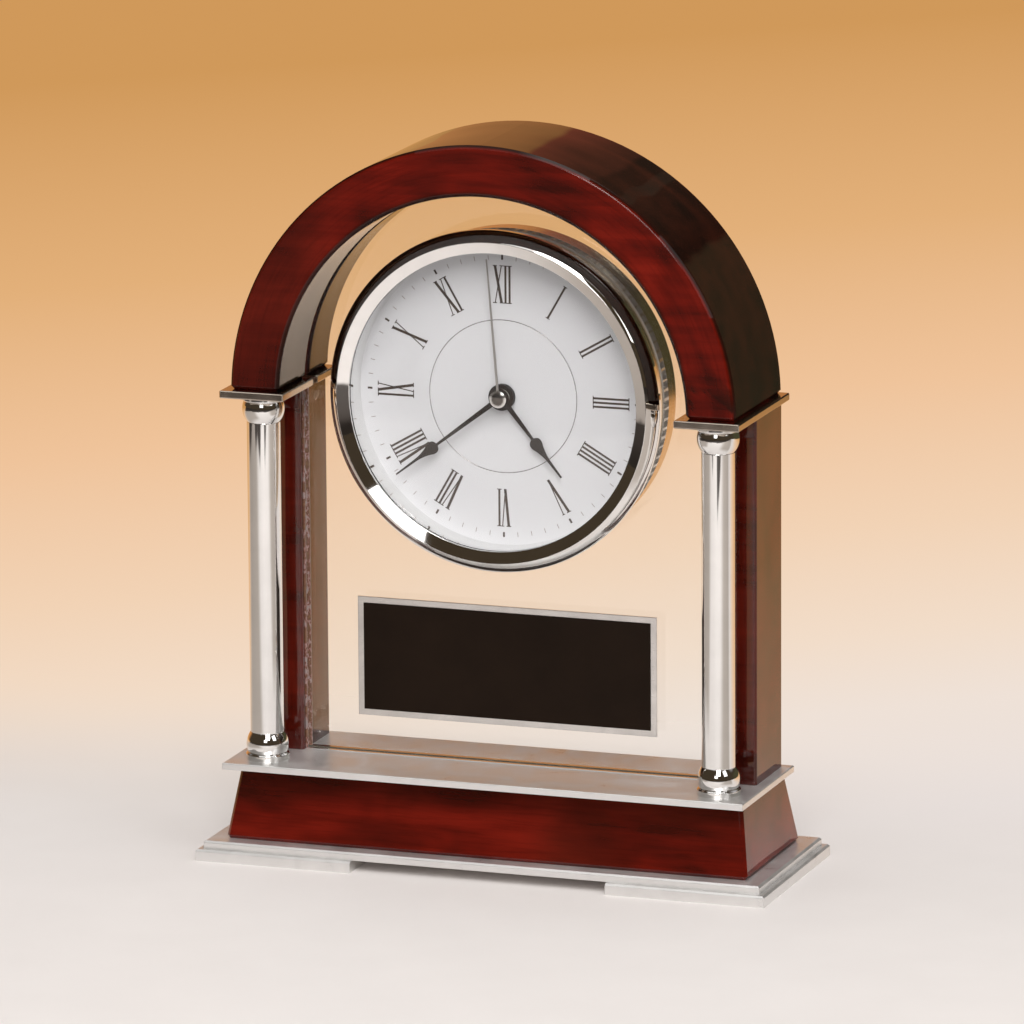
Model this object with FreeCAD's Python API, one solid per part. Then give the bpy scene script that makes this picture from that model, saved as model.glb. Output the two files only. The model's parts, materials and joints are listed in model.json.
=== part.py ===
import FreeCAD, Part
import math
import os

# Arched mantel clock: a wooden portico on two columns with a round quartz clock set in its glass panel.
# Millimetres, +Z up, the front faces -Y, the origin is the centre of the footprint on the floor.

V = FreeCAD.Vector
os.makedirs("parts", exist_ok=True)

# Arch and posts stand round the hole for the clock; plates, block and feet step out from them
glass_frame = 13.85
arch_width = 15.35
arch_nose = 7.8
arch_centre_drop = 1.3
wood_bevel = 1.0
post_inset = 0.85
post_lip = 2.4
post_bevel = 0.6

# Columns
column_reach = 18.6
column_height = 112.3
shaft_radius = 5.1
tube_wall = 1.0
flange_radius = 6.6
flange_height = 2.0
flange_bevel = 0.4
neck_radius = 5.9
ball_height = 6.4
ball_bulge = 0.85

# Capital plates, top plate, block, base plate and feet
capital_side_overhang = 2.3
capital_inner_overhang = 3.5
capital_front_overhang = 3.3
capital_back_overhang = 0.4
capital_height = 2.3
top_plate_side_overhang = 3.1
top_plate_front_overhang = 2.7
top_plate_back_overhang = 0.5
top_plate_height = 2.0
plate_bevel = 0.3
block_side_overhang = 0.1
block_front_overhang = 2.0
block_back_overhang = 1.8
block_side_lean = 3.3
block_face_lean = 5.3
block_height = 22.2
base_side_step = 5.4
base_face_step = 4.8
base_plate_height = 2.4
foot_step = 2.0
foot_length = 49.6
foot_height = 3.5
foot_bevel = 0.6

# Glass panel and name plate
glass_front = 3.8
glass_thickness = 6.0
glass_bite = 1.6
glass_bevel = 0.4
groove_clearance = 0.15
groove_end_clearance = 0.3
name_width = 94.8
name_top_gap = 12.85
name_foot_gap = 12.0
name_border = 1.9
name_backing_thickness = 0.5
name_face_thickness = 0.3

# Fasteners of the case
tie_rod_radius = 1.5
tie_rod_clearance = 0.1
tie_rod_reach = 8.0
tie_nut_radius = 3.0
tie_nut_height = 7.0
head_radius = 3.0
head_height = 1.6
head_recess = 0.5
head_clearance = 0.3
screw_radius = 1.5
screw_clearance = 0.1
screw_reach = 11.6
screw_margin = 10.7
dowel_radius = 3.0
dowel_clearance = 0.1
dowel_reach = 8.0

# Bezel, crystal, dial and drum of the clock insert
bezel_overhang = 1.85
bezel_standoff = 6.1
bezel_slope = 2.6
bezel_rim = 1.6
bezel_crown = 3.5
bezel_bulge = 0.3
crest_inset = 3.2
lip_drop = 1.4
lip_thickness = 0.7
lip_overlap = 2.1
skirt_wall = 1.2
drum_clearance = 0.1
drum_wall = 1.0
drum_overhang = 0.1
grip_thickness = 0.4
crystal_thickness = 1.3
seat_clearance = 0.1
dial_thickness = 0.5
dial_hole_clearance = 0.3
shelf_gap = 0.7
shelf_width = 5.38
shelf_thickness = 1.0
back_plate_thickness = 1.2
window_clearance = 0.3

# Battery and its contacts
battery_radius = 7.1
battery_length = 49.4
battery_rest_gap = 0.3
battery_side_gap = 0.95
battery_proud = 0.5
button_radius = 2.7
button_length = 1.0
contact_gap = 0.1
contact_thickness = 0.4
contact_width = 9.0
spring_radius = 1.2
spring_length = 2.2

# Movement case
case_wall = 1.2
case_front_wall = 1.0
cover_thickness = 1.2
cover_rebate = 2.0
train_floor = 13.5
coil_headroom = 0.5
ear_reach = 5.0
ear_half_height = 4.0
ear_thickness = 1.2
ear_screw_radius = 0.9
ear_head_radius = 1.8
ear_head_height = 0.9

# Arbors and pipes, each running in the next
fit_clearance = 0.05
pivot_radius = 0.4
pivot_depth = 0.6
arbor_radius = 0.7
second_arbor_radius = 0.8
minute_pipe_wall = 0.95
hour_pipe_wall = 0.8
stem_wall = 0.9
stem_rise = 0.9

# Gear train: teeth, modules and the pitch of the layers in which the wheels lie
tooth_tip_share = 0.12
tooth_root_share = 0.26
addendum_share = 0.8
dedendum_share = 1.2
rotor_teeth = 6
intermediate_teeth = 36
intermediate_pinion_teeth = 6
second_teeth = 30
second_pinion_teeth = 6
third_teeth = 45
third_pinion_teeth = 6
centre_teeth = 48
cannon_teeth = 8
motion_teeth = 24
motion_pinion_teeth = 8
hour_teeth = 32
rotor_module = 0.33
second_module = 0.56
third_module = 0.4
cannon_module = 0.675
wheel_thickness = 0.9
layer_gap = 0.45
pinion_overhang = 0.3
intermediate_bearing = 75.0
rotor_bearing = 150.0

# Motor
magnet_radius = 2.2
magnet_height = 2.2
stator_gap = 0.4
stator_thickness = 0.8
stator_side_gap = 1.8
stator_right_reach = 3.6
stator_below_rotor = 3.3
stator_above_rotor = 3.4
stator_leg = 3.0
core_height = 1.6
coil_window = 2.1
coil_clearance = 0.1
coil_flange_step = 0.4
coil_flange_length = 0.6

# Circuit board
board_width = 15.0
board_height = 10.0
board_thickness = 0.8
board_gap = 1.0
chip_size = 4.0
chip_height = 1.0
can_radius = 1.0
can_length = 6.0
can_edge_gap = 0.5

# Hands, set to the time in the picture, degrees clockwise from twelve
hour_angle = 141.0
minute_angle = 232.5
second_angle = 355.3
hand_thickness = 0.4
hour_lift = 1.9
hand_step = 1.5
second_step = 1.1
hour_hub_radius = 4.0
minute_hub_radius = 3.0
second_hub_radius = 1.6
hour_length = 29.9
hour_drop_reach = 17.5
minute_gap = 3.7
minute_drop_reach = 27.1
drop_radius = 1.9
drop_bulge_share = 0.28
drop_turn = 35.0
drop_turn_share = 0.05
drop_tail = 6.5
tail_hollow = 0.25
stem_root_half_width = 0.85
stem_neck_half_width = 0.4
tail_half_width = 0.4
point_half_width = 0.22
second_gap = 2.9
second_half_width = 0.36
cap_radius = 2.6
cap_height = 0.9
cap_crown = 0.5
cap_bulge_share = 0.25
cap_room = 3.3

# Setting knob
knob_radius = 5.0
knob_thickness = 2.4
knob_gap = 0.4
knob_bore_depth = 1.6
knob_flutes = 12
knob_flute_radius = 0.7

# How far cutting tools run past the faces they open
overrun = 1.0

# Movement case, fitted round the battery, measured from the middle of the dial
bay_length = battery_length + button_length + spring_length + (contact_thickness + contact_gap) * 2
bay_half = bay_length / 2
case_half = bay_half + case_wall
battery_drop = train_floor + case_wall + battery_side_gap + battery_radius
case_drop = battery_drop + battery_radius + battery_side_gap + case_wall

# Rings of the insert, stepping out from the movement to the bezel
shelf_radius = math.hypot(case_half, case_drop) + shelf_gap
drum_inner = shelf_radius + shelf_width
drum_radius = drum_inner + drum_wall
hole_radius = drum_radius + grip_thickness
bezel_radius = hole_radius + bezel_overhang
crest_radius = bezel_radius - crest_inset
skirt_radius = drum_inner - drum_clearance
seat_radius = skirt_radius - skirt_wall
lip_radius = seat_radius - lip_overlap
face_radius = seat_radius - seat_clearance

# Plan of the case, stepping out from the hole in the glass
arch_inner_radius = hole_radius + glass_frame
arch_outer_radius = arch_inner_radius + arch_width
arch_front = column_reach + arch_nose
column_x = (arch_outer_radius + arch_inner_radius) / 2
column_y = -column_reach
post_inner = arch_inner_radius + post_inset
block_top_half = arch_outer_radius + block_side_overhang
block_top_half_depth = column_reach + block_front_overhang
block_half = block_top_half + block_side_lean
block_half_depth = block_top_half_depth + block_face_lean
case_back = block_top_half_depth - block_back_overhang
base_half = block_half + base_side_step
base_half_depth = block_half_depth + base_face_step
foot_half = base_half + foot_step
foot_half_depth = base_half_depth + foot_step
foot_inner = foot_half - foot_length
screw_x = foot_inner + screw_margin
screw_y = foot_half_depth - screw_margin
screw_top_z = head_recess + screw_reach

# Heights of the stacked parts
base_plate_z = foot_height
block_z = base_plate_z + base_plate_height
top_plate_z = block_z + block_height
column_z = top_plate_z + top_plate_height
capital_z = column_z + column_height
arch_z = capital_z + capital_height
clock_height = arch_z - arch_centre_drop
name_low_z = column_z + name_foot_gap
name_top_z = clock_height - bezel_radius - name_top_gap

# Glass, its grooves and the dowels behind them
glass_back = glass_thickness - glass_front
glass_half = post_inner + glass_bite
groove_radius = glass_half + groove_end_clearance
dowel_x = (groove_radius + arch_outer_radius) / 2
dowel_y = (glass_back + case_back) / 2

# Depths of the insert, from the glass forwards and then back to the dial
bezel_back_y = -glass_front - bezel_standoff
waist_y = bezel_back_y - bezel_slope
shoulder_y = waist_y - bezel_rim
crest_y = shoulder_y - bezel_crown
lip_y = crest_y + lip_drop
crystal_y = lip_y + lip_thickness
reflector_y = crystal_y + crystal_thickness
minute_lift = hour_lift + hand_step
second_lift = minute_lift + second_step
dial_y = reflector_y + cap_room + cap_height + second_lift
dial_back_y = dial_y + dial_thickness
hour_hand_y = dial_y - hour_lift
minute_hand_y = dial_y - minute_lift
second_hand_y = dial_y - second_lift
stem_y = dial_y - stem_rise

# Depths of the movement case, fitted round the battery
inside_front_y = dial_back_y + case_front_wall
battery_y = inside_front_y + battery_rest_gap + battery_radius
movement_back_y = battery_y + battery_radius - battery_proud
cover_y = movement_back_y - cover_thickness
drum_back_y = movement_back_y + drum_overhang
ear_back_y = drum_back_y - back_plate_thickness
knob_y = movement_back_y + knob_gap
battery_right = bay_half - contact_thickness - contact_gap - button_length
battery_left = battery_right - battery_length
train_z = clock_height - train_floor
bay_top_z = train_z - case_wall
battery_z = clock_height - battery_drop
case_bottom_z = clock_height - case_drop

# Layers of the train, each named by the front face of its wheel
layer_step = wheel_thickness + layer_gap
hour_wheel_y = inside_front_y + layer_gap
motion_wheel_y = hour_wheel_y + layer_step
centre_wheel_y = motion_wheel_y + layer_step
third_wheel_y = centre_wheel_y + layer_step
second_wheel_y = third_wheel_y + layer_step
intermediate_wheel_y = second_wheel_y + layer_step

# Pipes over the arbor of the second hand
minute_bore = second_arbor_radius + fit_clearance
minute_pipe_radius = minute_bore + minute_pipe_wall
hour_bore = minute_pipe_radius + fit_clearance
hour_pipe_radius = hour_bore + hour_pipe_wall
stem_bore = hour_pipe_radius + fit_clearance
stem_radius = stem_bore + stem_wall

# Centre distances follow from the teeth
second_distance = (second_teeth + intermediate_pinion_teeth) * second_module / 2
rotor_distance = (intermediate_teeth + rotor_teeth) * rotor_module / 2
third_distance = (third_teeth + second_pinion_teeth) * third_module / 2
centre_module = 2 * third_distance / (centre_teeth + third_pinion_teeth)
motion_distance = (motion_teeth + cannon_teeth) * cannon_module / 2
hour_module = 2 * motion_distance / (hour_teeth + motion_pinion_teeth)


def placed(start, distance, bearing):
    turn = math.radians(bearing)
    return (start[0] + distance * math.cos(turn), start[1] + distance * math.sin(turn))


# Places on the clock are given as x and height from the middle of the dial
centre_place = (0, 0)
third_place = (third_distance, 0)
motion_place = (-motion_distance, 0)
intermediate_place = placed(centre_place, second_distance, intermediate_bearing)
rotor_place = placed(intermediate_place, rotor_distance, rotor_bearing)
ear_places = [(case_half + ear_reach / 2, 0), (-case_half - ear_reach / 2, 0)]

# Stator and coil stand above the rotor, and the case closes over them
rotor_x = rotor_place[0]
rotor_z = clock_height + rotor_place[1]
stator_left = stator_side_gap - bay_half
stator_right = rotor_x + stator_right_reach
stator_z = rotor_z - stator_below_rotor
coil_window_z = rotor_z + stator_above_rotor
core_z = coil_window_z + coil_window
coil_z = core_z + core_height / 2
coil_flange_radius = coil_z - coil_window_z - coil_clearance
case_top_z = coil_z + coil_flange_radius + coil_headroom + case_wall
board_right = bay_half - board_gap
board_top_z = case_top_z - case_wall - board_gap


def box(x0, x1, y0, y1, z0, z1):
    return Part.makeBox(x1 - x0, y1 - y0, z1 - z0, V(x0, y0, z0))


def upright(x, y, radius, z0, z1):
    return Part.makeCylinder(radius, z1 - z0, V(x, y, z0))


def lying(x0, x1, y, z, radius):
    return Part.makeCylinder(radius, x1 - x0, V(x0, y, z), V(1, 0, 0))


def disc(place, radius, y0, y1):
    x, z = place
    return Part.makeCylinder(radius, y1 - y0, V(x, y0, clock_height + z), V(0, 1, 0))


def ring(place, outer, inner, y0, y1):
    return disc(place, outer, y0, y1).cut(disc(place, inner, y0 - overrun, y1 + overrun))


# An outline is a list of corners; a third value lets the stretch that leads there bulge to its left
def outline_face(corners, at):
    edges = []
    previous = corners[-1]
    for corner in corners:
        start = at(previous[0], previous[1])
        end = at(corner[0], corner[1])
        bulge = corner[2] if len(corner) > 2 else 0
        if bulge:
            across = corner[0] - previous[0]
            along = corner[1] - previous[1]
            reach = bulge / math.hypot(across, along)
            middle = at(previous[0] + across / 2 - along * reach, previous[1] + along / 2 + across * reach)
            edges.append(Part.Arc(start, middle, end).toShape())
        else:
            edges.append(Part.makeLine(start, end))
        previous = corner
    return Part.Face(Part.Wire(edges))


def symmetric(half):
    bulges = [corner[2] for corner in half[1:]] + [0]
    other = [(-corner[0], corner[1], bulge) for corner, bulge in zip(half, bulges)]
    return half + other[::-1]


def turned_on_clock(profile):
    face = outline_face(profile, lambda radius, y: V(radius, y, clock_height))
    return face.revolve(V(0, 0, clock_height), V(0, 1, 0), 360)


def save(name, *shapes):
    shape = shapes[0] if len(shapes) == 1 else Part.makeCompound(list(shapes))
    shape.exportStep("parts/" + name + ".step")


def mirrored(shape):
    return shape.mirror(V(0, 0, 0), V(1, 0, 0))


def both_sides(shape):
    return [shape, mirrored(shape)]


def save_pair(name, right):
    save(name + "_right", right)
    save(name + "_left", mirrored(right))


def cut_all(shape, tools):
    for tool in tools:
        shape = shape.cut(tool)
    return shape


def frustum(half_x, front, back, lean_x, lean_y, z0, z1):
    loops = []
    for z, in_x, in_y in ((z0, 0, 0), (z1, lean_x, lean_y)):
        x = half_x - in_x
        corners = [V(-x, in_y - front, z), V(x, in_y - front, z), V(x, back - in_y, z), V(-x, back - in_y, z)]
        loops.append(Part.makePolygon(corners + [corners[0]]))
    return Part.makeLoft(loops, True, True)


def bevelled_slab(half_x, front, back, z0, z1, bevel):
    body = frustum(half_x, front, back, 0, 0, z0, z1 - bevel)
    return body.fuse(frustum(half_x, front, back, bevel, bevel, z1 - bevel, z1)).removeSplitter()


# Bores and fasteners of the case
def column_bore(z0, z1):
    return upright(column_x, column_y, tie_rod_radius + tie_rod_clearance, z0 - overrun, z1 + overrun)


def dowel_bore(z0, z1):
    return upright(dowel_x, dowel_y, dowel_radius + dowel_clearance, z0, z1)


def foot_screw():
    head = upright(screw_x, screw_y, head_radius, head_recess, head_recess + head_height)
    return head.fuse(upright(screw_x, screw_y, screw_radius, head_recess, screw_top_z))


def foot_screw_hole():
    head = upright(screw_x, screw_y, head_radius + head_clearance, -overrun, head_recess + head_height)
    return head.fuse(upright(screw_x, screw_y, screw_radius + screw_clearance, -overrun, screw_top_z))


def tie_rod():
    head = upright(column_x, column_y, head_radius, head_recess, head_recess + head_height)
    return head.fuse(upright(column_x, column_y, tie_rod_radius, head_recess, arch_z + tie_rod_reach))


def tie_nut():
    nut = upright(column_x, column_y, tie_nut_radius, arch_z, arch_z + tie_nut_height)
    return nut.cut(column_bore(arch_z, arch_z + tie_nut_height))


def dowels():
    low = upright(dowel_x, dowel_y, dowel_radius, top_plate_z - dowel_reach, column_z + dowel_reach)
    high = upright(dowel_x, dowel_y, dowel_radius, capital_z - dowel_reach, arch_z + dowel_reach)
    return both_sides(low) + both_sides(high)


# Feet and base
def foot():
    slab = bevelled_slab(foot_half, foot_half_depth, foot_half_depth, 0, foot_height, foot_bevel)
    slab = slab.common(box(foot_inner, foot_half, -foot_half_depth, foot_half_depth, 0, foot_height))
    head_hole = upright(column_x, column_y, head_radius + head_clearance, -overrun, head_recess + head_height)
    return cut_all(slab, [head_hole, column_bore(0, foot_height), foot_screw_hole()])


def base_plate():
    slab = bevelled_slab(base_half, base_half_depth, base_half_depth, base_plate_z, block_z, foot_bevel)
    return cut_all(slab, both_sides(column_bore(base_plate_z, block_z)) + both_sides(foot_screw_hole()))


def base_block():
    block = frustum(block_half, block_half_depth, block_half_depth, block_side_lean, block_face_lean,
                    block_z, top_plate_z)
    leaning = [edge for edge in block.Edges if edge.BoundBox.ZLength > block_height / 2]
    low = [edge for edge in block.Edges if edge.BoundBox.ZMax < block_z + block_height / 2]
    block = block.makeChamfer(wood_bevel, leaning + low)
    block = cut_all(block, both_sides(column_bore(block_z, top_plate_z)))
    block = cut_all(block, both_sides(dowel_bore(top_plate_z - dowel_reach, top_plate_z + overrun)))
    return cut_all(block, both_sides(foot_screw_hole()))


def top_plate():
    slab = bevelled_slab(arch_outer_radius + top_plate_side_overhang, arch_front + top_plate_front_overhang,
                         block_top_half_depth + top_plate_back_overhang, top_plate_z, column_z, plate_bevel)
    slab = cut_all(slab, both_sides(column_bore(top_plate_z, column_z)))
    return cut_all(slab, both_sides(dowel_bore(top_plate_z - overrun, column_z + overrun)))


# Columns: a tube between a turned foot and the same turning upside down as the head
def column_foot():
    bore = tie_rod_radius + tie_rod_clearance
    flange_z = column_z + flange_height
    ball_z = flange_z + ball_height
    profile = [(bore, column_z), (flange_radius, column_z), (flange_radius, flange_z - flange_bevel),
               (flange_radius - flange_bevel, flange_z), (neck_radius, flange_z),
               (shaft_radius, ball_z, -ball_bulge), (bore, ball_z)]
    solid = outline_face(profile, lambda radius, z: V(radius, 0, z)).revolve(V(0, 0, 0), V(0, 0, 1), 360)
    solid.translate(V(column_x, column_y, 0))
    return solid


def column_head():
    return column_foot().mirror(V(0, 0, (column_z + capital_z) / 2), V(0, 0, 1))


def column_shaft():
    collar = flange_height + ball_height
    low = column_z + collar
    high = capital_z - collar
    hollow = upright(column_x, column_y, shaft_radius - tube_wall, low - overrun, high + overrun)
    return upright(column_x, column_y, shaft_radius, low, high).cut(hollow)


# Posts: wooden uprights grooved for the glass panel
def glass_slot(x0, z0, z1):
    return box(x0 - overrun, groove_radius, -glass_front - groove_clearance, glass_back + groove_clearance,
               z0 - overrun, z1 + overrun)


def post():
    body = box(post_inner, arch_outer_radius, -glass_front - post_lip, case_back, column_z, capital_z)
    corners = [edge for edge in body.Edges if edge.BoundBox.ZLength > column_height / 2]
    body = body.makeChamfer(post_bevel, corners).cut(glass_slot(post_inner, column_z, capital_z))
    low = dowel_bore(column_z - overrun, column_z + dowel_reach)
    high = dowel_bore(capital_z - dowel_reach, capital_z + overrun)
    return cut_all(body, [low, high])


def capital_plate():
    inner = post_inner - capital_inner_overhang
    plate = box(inner, arch_outer_radius + capital_side_overhang, -arch_front - capital_front_overhang,
                case_back + capital_back_overhang, capital_z, arch_z)
    plate = plate.makeChamfer(plate_bevel, plate.Edges).cut(glass_slot(inner, capital_z, arch_z))
    return cut_all(plate, [column_bore(capital_z, arch_z), dowel_bore(capital_z - overrun, arch_z + overrun)])


# Arch: a half ring of wood with a groove for the glass round its inside
def arch():
    reach = arch_outer_radius + overrun
    half_ring = ring(centre_place, arch_outer_radius, arch_inner_radius, -arch_front, case_back)
    half_ring = half_ring.common(box(-reach, reach, -arch_front, case_back, arch_z, clock_height + reach))
    half_ring = half_ring.makeChamfer(wood_bevel, half_ring.Edges)
    groove = disc(centre_place, groove_radius, -glass_front - groove_clearance, glass_back + groove_clearance)
    nut_hole = upright(column_x, column_y, tie_nut_radius + fit_clearance, arch_z - overrun,
                       arch_z + tie_nut_height + groove_clearance)
    bores = both_sides(nut_hole) + both_sides(column_bore(arch_z, arch_z + tie_rod_reach))
    return cut_all(half_ring, [groove] + bores + both_sides(dowel_bore(arch_z - overrun, arch_z + dowel_reach)))


def glass_panel():
    left = V(-glass_half, -glass_front, clock_height)
    right = V(glass_half, -glass_front, clock_height)
    low_left = V(-glass_half, -glass_front, column_z)
    low_right = V(glass_half, -glass_front, column_z)
    crown = Part.Arc(right, V(0, -glass_front, clock_height + glass_half), left).toShape()
    corners = [left, low_left, low_right, right]
    sides = [Part.makeLine(start, end) for start, end in zip(corners, corners[1:])]
    panel = Part.Face(Part.Wire(sides + [crown])).extrude(V(0, glass_thickness, 0))
    panel = panel.cut(disc(centre_place, hole_radius, -glass_front - overrun, glass_back + overrun))
    foot_edges = [edge for edge in panel.Edges if edge.BoundBox.ZMax < column_z + glass_bevel
                  and edge.BoundBox.XLength > glass_half]
    return panel.makeChamfer(glass_bevel, foot_edges)


def plate_on_glass(inset, front, thickness):
    half_x = name_width / 2 - inset
    return box(-half_x, half_x, -front - thickness, -front, name_low_z + inset, name_top_z - inset)


# Clock insert: bezel, crystal, polished inner ring, dial and drum
def bezel():
    return turned_on_clock([
        (lip_radius, lip_y), (crest_radius, crest_y), (bezel_radius, shoulder_y, -bezel_bulge),
        (bezel_radius, waist_y), (drum_radius, bezel_back_y), (skirt_radius, bezel_back_y),
        (skirt_radius, dial_back_y), (seat_radius, dial_back_y), (seat_radius, crystal_y),
        (lip_radius, crystal_y)])


def insert_case():
    wall = ring(centre_place, drum_radius, drum_inner, bezel_back_y, drum_back_y)
    shelf = ring(centre_place, drum_radius, shelf_radius, dial_back_y, dial_back_y + shelf_thickness)
    plate = disc(centre_place, drum_radius, ear_back_y, drum_back_y)
    window_half = case_half + window_clearance
    window = box(-window_half, window_half, dial_back_y, drum_back_y + overrun,
                 case_bottom_z - window_clearance, case_top_z + window_clearance)
    drum = wall.fuse(shelf).fuse(plate.cut(window)).removeSplitter()
    return cut_all(drum, [ear_hole(place, ear_back_y - overrun, drum_back_y + overrun) for place in ear_places])


def ear_hole(place, y0, y1):
    return disc(place, ear_screw_radius + screw_clearance, y0, y1)


# Movement case: an open box with a battery bay along the bottom and the train above it
def movement_case():
    body = box(-case_half, case_half, dial_back_y, movement_back_y, case_bottom_z, case_top_z)
    open_y = movement_back_y + overrun
    bay = box(-bay_half, bay_half, inside_front_y, open_y, case_bottom_z + case_wall, bay_top_z)
    train_room = box(-bay_half, bay_half, inside_front_y, open_y, train_z, case_top_z - case_wall)
    seat_half = bay_half + cover_rebate
    cover_seat = box(-seat_half, seat_half, cover_y, open_y, bay_top_z, case_top_z + overrun)
    body = cut_all(body, [bay, train_room, cover_seat])
    for x, z in ear_places:
        ear = box(x - ear_reach / 2, x + ear_reach / 2, ear_back_y - ear_thickness, ear_back_y,
                  clock_height - ear_half_height, clock_height + ear_half_height)
        body = body.fuse(ear.cut(ear_hole((x, z), ear_back_y - ear_thickness - overrun, ear_back_y + overrun)))
    body = body.fuse(disc(centre_place, stem_radius, stem_y, inside_front_y))
    body = body.cut(disc(centre_place, stem_bore, stem_y - overrun, inside_front_y + overrun))
    places = (rotor_place, intermediate_place, third_place, motion_place)
    return cut_all(body, [pivot_hole(place, inside_front_y - pivot_depth, inside_front_y) for place in places])


def movement_cover():
    plate = box(-case_half, case_half, cover_y, movement_back_y, bay_top_z, case_top_z)
    places = (rotor_place, intermediate_place, third_place, centre_place)
    plate = cut_all(plate, [pivot_hole(place, cover_y, cover_y + pivot_depth) for place in places])
    arbor_hole = disc(motion_place, arbor_radius + fit_clearance, cover_y - overrun, movement_back_y + overrun)
    return plate.cut(arbor_hole)


def pivot_hole(place, y0, y1):
    return disc(place, pivot_radius + fit_clearance, y0, y1)


def ear_screw(place):
    shank = disc(place, ear_screw_radius, ear_back_y - ear_thickness, drum_back_y)
    return shank.fuse(disc(place, ear_head_radius, drum_back_y, drum_back_y + ear_head_height))


# Wheels: pointed teeth on a root circle, with one tooth turned towards the mate that the wheel drives
def heading(start, end):
    return math.atan2(end[0] - start[0], end[1] - start[1])


def toothed(place, teeth, module, facing, y, thickness):
    pitch = 2 * math.pi / teeth
    root = (teeth / 2 - dedendum_share) * module
    tip = (teeth / 2 + addendum_share) * module
    corners = ((-tooth_root_share, root), (-tooth_tip_share, tip),
               (tooth_tip_share, tip), (tooth_root_share, root))
    outline = []
    for tooth in range(teeth):
        for share, reach in corners:
            turn = facing + (tooth + share) * pitch
            outline.append((place[0] + reach * math.sin(turn), place[1] + reach * math.cos(turn)))
    return outline_face(outline, lambda x, z: V(x, y, clock_height + z)).extrude(V(0, thickness, 0))


def driving(place, mate, teeth, module, y, thickness):
    return toothed(place, teeth, module, heading(place, mate), y, thickness)


def driven(place, mate, teeth, module, y, thickness):
    return toothed(place, teeth, module, heading(place, mate) + math.pi / teeth, y, thickness)


def pivots(place):
    end = pivot_depth - fit_clearance
    return disc(place, pivot_radius, inside_front_y - end, cover_y + end)


def rotor():
    magnet = disc(rotor_place, magnet_radius, third_wheel_y, third_wheel_y + magnet_height)
    teeth = driven(rotor_place, intermediate_place, rotor_teeth, rotor_module,
                   intermediate_wheel_y - pinion_overhang, wheel_thickness + pinion_overhang * 2)
    return pivots(rotor_place).fuse(magnet).fuse(teeth)


def intermediate_wheel():
    place = intermediate_place
    low = second_wheel_y - pinion_overhang
    high = intermediate_wheel_y
    wheel = driving(place, rotor_place, intermediate_teeth, rotor_module, high, wheel_thickness)
    pinion = driven(place, centre_place, intermediate_pinion_teeth, second_module, low, high - low)
    return pivots(place).fuse(wheel).fuse(pinion)


def second_wheel():
    low = third_wheel_y - pinion_overhang
    high = second_wheel_y
    wheel = driving(centre_place, intermediate_place, second_teeth, second_module, high, wheel_thickness)
    pinion = driven(centre_place, third_place, second_pinion_teeth, third_module, low, high - low)
    arbor = disc(centre_place, second_arbor_radius, second_hand_y, cover_y - fit_clearance)
    pin = disc(centre_place, pivot_radius, second_wheel_y, cover_y + pivot_depth - fit_clearance)
    return wheel.fuse(pinion).fuse(arbor).fuse(pin)


def third_wheel():
    wheel = driving(third_place, centre_place, third_teeth, third_module, third_wheel_y, wheel_thickness)
    low = centre_wheel_y - pinion_overhang
    pinion = driven(third_place, centre_place, third_pinion_teeth, centre_module, low, third_wheel_y - low)
    return pivots(third_place).fuse(wheel).fuse(pinion)


def centre_wheel():
    wheel = driving(centre_place, third_place, centre_teeth, centre_module, centre_wheel_y, wheel_thickness)
    return wheel.cut(disc(centre_place, hour_bore, centre_wheel_y - overrun, centre_wheel_y + layer_step))


# Motion work: the cannon pinion carries the minute hand, the hour wheel the hour hand
def cannon_pinion():
    pinion = driving(centre_place, motion_place, cannon_teeth, cannon_module, motion_wheel_y, wheel_thickness)
    back = third_wheel_y - pinion_overhang - fit_clearance
    pipe = disc(centre_place, minute_pipe_radius, minute_hand_y, back)
    return pipe.fuse(pinion).cut(disc(centre_place, minute_bore, minute_hand_y - overrun, back + overrun))


def motion_wheel():
    wheel = driven(motion_place, centre_place, motion_teeth, cannon_module, motion_wheel_y, wheel_thickness)
    low = hour_wheel_y - layer_gap / 2
    pinion = driving(motion_place, centre_place, motion_pinion_teeth, hour_module, low, motion_wheel_y - low)
    arbor = disc(motion_place, arbor_radius, low, knob_y + knob_bore_depth - fit_clearance)
    pin = disc(motion_place, pivot_radius, inside_front_y - pivot_depth + fit_clearance, low)
    return arbor.fuse(pin).fuse(wheel).fuse(pinion)


def hour_wheel():
    wheel = driven(centre_place, motion_place, hour_teeth, hour_module, hour_wheel_y, wheel_thickness)
    pipe = disc(centre_place, hour_pipe_radius, hour_hand_y, hour_wheel_y + wheel_thickness)
    bore = disc(centre_place, hour_bore, hour_hand_y - overrun, hour_wheel_y + layer_step)
    return wheel.fuse(pipe).cut(bore)


def setting_knob():
    knob = disc(motion_place, knob_radius, knob_y, knob_y + knob_thickness)
    bore = disc(motion_place, arbor_radius + fit_clearance, knob_y - overrun, knob_y + knob_bore_depth)
    knob = knob.cut(bore)
    for flute in range(knob_flutes):
        place = placed(motion_place, knob_radius, flute * 360 / knob_flutes)
        knob = knob.cut(disc(place, knob_flute_radius, knob_y - overrun, knob_y + knob_thickness + overrun))
    return knob


# Motor and electronics
def stator():
    front = third_wheel_y + (magnet_height - stator_thickness) / 2
    back = front + stator_thickness
    plate = box(stator_left, stator_right, front, back, stator_z, core_z + core_height)
    window = box(stator_left + stator_leg, stator_right - stator_leg, front - overrun, back + overrun,
                 coil_window_z, core_z)
    rotor_hole = disc(rotor_place, magnet_radius + stator_gap, front - overrun, back + overrun)
    return cut_all(plate, [window, rotor_hole])


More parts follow.
